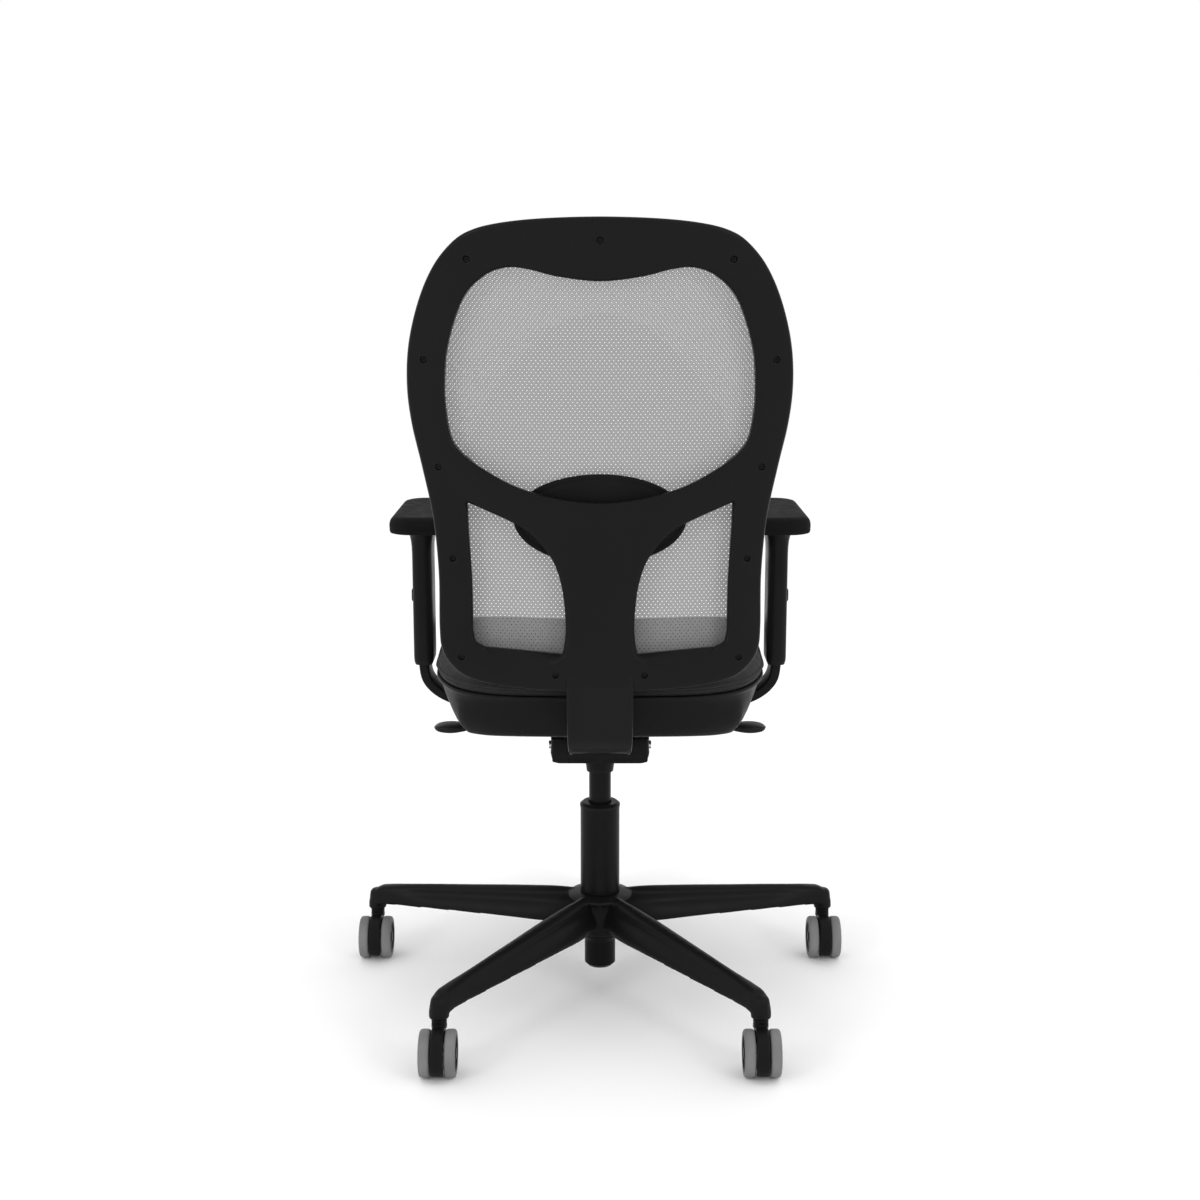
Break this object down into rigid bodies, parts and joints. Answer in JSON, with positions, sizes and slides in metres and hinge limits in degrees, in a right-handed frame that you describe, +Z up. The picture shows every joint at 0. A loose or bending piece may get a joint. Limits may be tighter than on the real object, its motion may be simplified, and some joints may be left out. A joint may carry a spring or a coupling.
{
  "type": "swivel office chair",
  "caption": "Task chair with a net back in a one-piece plastic hoop and spine, padded seat, height-adjustable arms, side levers and a five-star base on twin-wheel casters.",
  "frame": {"origin": "on the floor under the axis of the column", "axes": "+Z up, -Y the way the sitter faces, +X the sitter's left"},
  "size_m": [0.6436, 0.631, 0.9648],
  "materials": {
    "base_nylon": "glass-filled nylon, fine satin grain",
    "column_paint": "black powder coat, satin",
    "cylinder_paint": "black lacquered steel tube, smooth",
    "hood_plastic": "moulded nylon, satin",
    "natural_nylon": "unfilled natural nylon",
    "bright_steel": "turned steel",
    "tread_rubber": "soft grey polyurethane tread",
    "mechanism_paint": "black powder coat, fine texture",
    "shell_plastic": "polypropylene, fine leather-like grain",
    "lever_plastic": "moulded nylon, satin",
    "seat_fabric": "black woven upholstery cloth",
    "frame_plastic": "glass-filled polypropylene, satin",
    "back_net": "light grey open-weave net",
    "screw_black": "black zinc screws",
    "pad_skin": "self-skinned soft polyurethane foam",
    "arm_plastic": "glass-filled nylon, satin"
  },
  "bodies": {
    "base": {"five_star_base": "base_nylon", "gas_lift_tube": "column_paint", "column_collar": "hood_plastic", "guide_bush": "natural_nylon", "thrust_bearing": "bright_steel"},
    "caster_1": {"caster_1_hood": "hood_plastic", "caster_1_pins": "bright_steel"},
    "wheel_1_left": {"caster_1_wheel_left": "tread_rubber"},
    "wheel_1_right": {"caster_1_wheel_right": "tread_rubber"},
    "caster_2": {"caster_2_hood": "hood_plastic", "caster_2_pins": "bright_steel"},
    "wheel_2_left": {"caster_2_wheel_left": "tread_rubber"},
    "wheel_2_right": {"caster_2_wheel_right": "tread_rubber"},
    "caster_3": {"caster_3_hood": "hood_plastic", "caster_3_pins": "bright_steel"},
    "wheel_3_left": {"caster_3_wheel_left": "tread_rubber"},
    "wheel_3_right": {"caster_3_wheel_right": "tread_rubber"},
    "caster_4": {"caster_4_hood": "hood_plastic", "caster_4_pins": "bright_steel"},
    "wheel_4_left": {"caster_4_wheel_left": "tread_rubber"},
    "wheel_4_right": {"caster_4_wheel_right": "tread_rubber"},
    "caster_5": {"caster_5_hood": "hood_plastic", "caster_5_pins": "bright_steel"},
    "wheel_5_left": {"caster_5_wheel_left": "tread_rubber"},
    "wheel_5_right": {"caster_5_wheel_right": "tread_rubber"},
    "spindle": {"piston_rod": "bright_steel"},
    "chassis": {"gas_cylinder": "cylinder_paint", "mechanism_housing": "mechanism_paint", "mechanism_cover": "shell_plastic", "recline_shaft": "bright_steel", "tilt_shaft": "bright_steel", "recline_springs": "bright_steel", "lever_bearing_left": "mechanism_paint", "lever_bearing_right": "mechanism_paint"},
    "lock_lever": {"tilt_lock_lever": "lever_plastic"},
    "lift_lever": {"height_lever": "lever_plastic"},
    "carriage": {"seat_carriage": "mechanism_paint"},
    "seat": {"seat_pan": "shell_plastic", "seat_shell": "shell_plastic", "seat_cushion": "seat_fabric", "slide_runner_left": "natural_nylon", "slide_runner_right": "natural_nylon", "arm_bracket_left": "mechanism_paint", "arm_bracket_right": "mechanism_paint"},
    "arm_left": {"arm_sleeve_left": "arm_plastic", "arm_pad_left": "pad_skin"},
    "button_left": {"arm_button_left": "arm_plastic"},
    "arm_right": {"arm_sleeve_right": "arm_plastic", "arm_pad_right": "pad_skin"},
    "button_right": {"arm_button_right": "arm_plastic"},
    "back": {"back_frame": "frame_plastic", "back_bar": "mechanism_paint", "back_mesh": "back_net", "mesh_carrier": "frame_plastic", "carrier_screws": "screw_black"},
    "lumbar": {"lumbar_pad": "pad_skin"}
  },
  "joints": [
    {"name": "caster_1_swivel", "type": "hinge", "parent": "base", "child": "caster_1", "pos_m": [0, -0.316, 0.06], "axis": [0, 0, 1], "continuous": true},
    {"name": "wheel_1_left_roll", "type": "hinge", "parent": "caster_1", "child": "wheel_1_left", "pos_m": [0, -0.296, 0.0274], "axis": [1, 0, 0], "continuous": true},
    {"name": "wheel_1_right_roll", "type": "hinge", "parent": "caster_1", "child": "wheel_1_right", "pos_m": [0, -0.296, 0.0274], "axis": [1, 0, 0], "continuous": true},
    {"name": "caster_2_swivel", "type": "hinge", "parent": "base", "child": "caster_2", "pos_m": [0.30053, -0.09765, 0.06], "axis": [0, 0, 1], "continuous": true},
    {"name": "wheel_2_left_roll", "type": "hinge", "parent": "caster_2", "child": "wheel_2_left", "pos_m": [0.30053, -0.07765, 0.0274], "axis": [1, 0, 0], "continuous": true},
    {"name": "wheel_2_right_roll", "type": "hinge", "parent": "caster_2", "child": "wheel_2_right", "pos_m": [0.30053, -0.07765, 0.0274], "axis": [1, 0, 0], "continuous": true},
    {"name": "caster_3_swivel", "type": "hinge", "parent": "base", "child": "caster_3", "pos_m": [0.18574, 0.25565, 0.06], "axis": [0, 0, 1], "continuous": true},
    {"name": "wheel_3_left_roll", "type": "hinge", "parent": "caster_3", "child": "wheel_3_left", "pos_m": [0.18574, 0.27565, 0.0274], "axis": [1, 0, 0], "continuous": true},
    {"name": "wheel_3_right_roll", "type": "hinge", "parent": "caster_3", "child": "wheel_3_right", "pos_m": [0.18574, 0.27565, 0.0274], "axis": [1, 0, 0], "continuous": true},
    {"name": "caster_4_swivel", "type": "hinge", "parent": "base", "child": "caster_4", "pos_m": [-0.18574, 0.25565, 0.06], "axis": [0, 0, 1], "continuous": true},
    {"name": "wheel_4_left_roll", "type": "hinge", "parent": "caster_4", "child": "wheel_4_left", "pos_m": [-0.18574, 0.27565, 0.0274], "axis": [1, 0, 0], "continuous": true},
    {"name": "wheel_4_right_roll", "type": "hinge", "parent": "caster_4", "child": "wheel_4_right", "pos_m": [-0.18574, 0.27565, 0.0274], "axis": [1, 0, 0], "continuous": true},
    {"name": "caster_5_swivel", "type": "hinge", "parent": "base", "child": "caster_5", "pos_m": [-0.30053, -0.09765, 0.06], "axis": [0, 0, 1], "continuous": true},
    {"name": "wheel_5_left_roll", "type": "hinge", "parent": "caster_5", "child": "wheel_5_left", "pos_m": [-0.30053, -0.07765, 0.0274], "axis": [1, 0, 0], "continuous": true},
    {"name": "wheel_5_right_roll", "type": "hinge", "parent": "caster_5", "child": "wheel_5_right", "pos_m": [-0.30053, -0.07765, 0.0274], "axis": [1, 0, 0], "continuous": true},
    {"name": "seat_swivel", "type": "hinge", "parent": "base", "child": "spindle", "pos_m": [0, 0, 0.03], "axis": [0, 0, 1], "continuous": true},
    {"name": "seat_height", "type": "slide", "parent": "spindle", "child": "chassis", "axis": [0, 0, 1], "range_m": [-0.035, 0.075]},
    {"name": "height_lever_lift", "type": "hinge", "parent": "chassis", "child": "lift_lever", "pos_m": [-0.066, 0.028, 0.347], "axis": [0, 1, 0], "range_deg": [0, 5], "stiffness_Nm_per_rad": 1.2, "springref_deg": -8.59},
    {"name": "tilt_lock_lift", "type": "hinge", "parent": "chassis", "child": "lock_lever", "pos_m": [0.066, 0.028, 0.347], "axis": [0, -1, 0], "range_deg": [0, 5]},
    {"name": "back_recline", "type": "hinge", "parent": "chassis", "child": "back", "pos_m": [0, 0.062, 0.334], "axis": [-1, 0, 0], "range_deg": [0, 18], "stiffness_Nm_per_rad": 60, "springref_deg": -20.05},
    {"name": "seat_tilt", "type": "hinge", "parent": "chassis", "child": "carriage", "pos_m": [0, -0.058, 0.3545], "axis": [-1, 0, 0], "range_deg": [0, 6.4]},
    {"name": "seat_depth", "type": "slide", "parent": "carriage", "child": "seat", "axis": [0, -1, 0], "range_m": [0, 0.05]},
    {"name": "lumbar_height", "type": "slide", "parent": "back", "child": "lumbar", "axis": [0, 0, 1], "range_m": [-0.02, 0.02]},
    {"name": "arm_left_height", "type": "slide", "parent": "seat", "child": "arm_left", "axis": [0, 0, 1], "range_m": [0, 0.08]},
    {"name": "arm_left_button", "type": "slide", "parent": "arm_left", "child": "button_left", "axis": [-1, 0, 0], "range_m": [0, 0.002], "stiffness_N_per_m": 1500, "springref_m": -0.001},
    {"name": "arm_right_height", "type": "slide", "parent": "seat", "child": "arm_right", "axis": [0, 0, 1], "range_m": [0, 0.08]},
    {"name": "arm_right_button", "type": "slide", "parent": "arm_right", "child": "button_right", "axis": [1, 0, 0], "range_m": [0, 0.002], "stiffness_N_per_m": 1500, "springref_m": -0.001}
  ],
  "couplings": [
    {"joint": "seat_tilt", "follows": "back_recline", "ratio": 0.35}
  ]
}
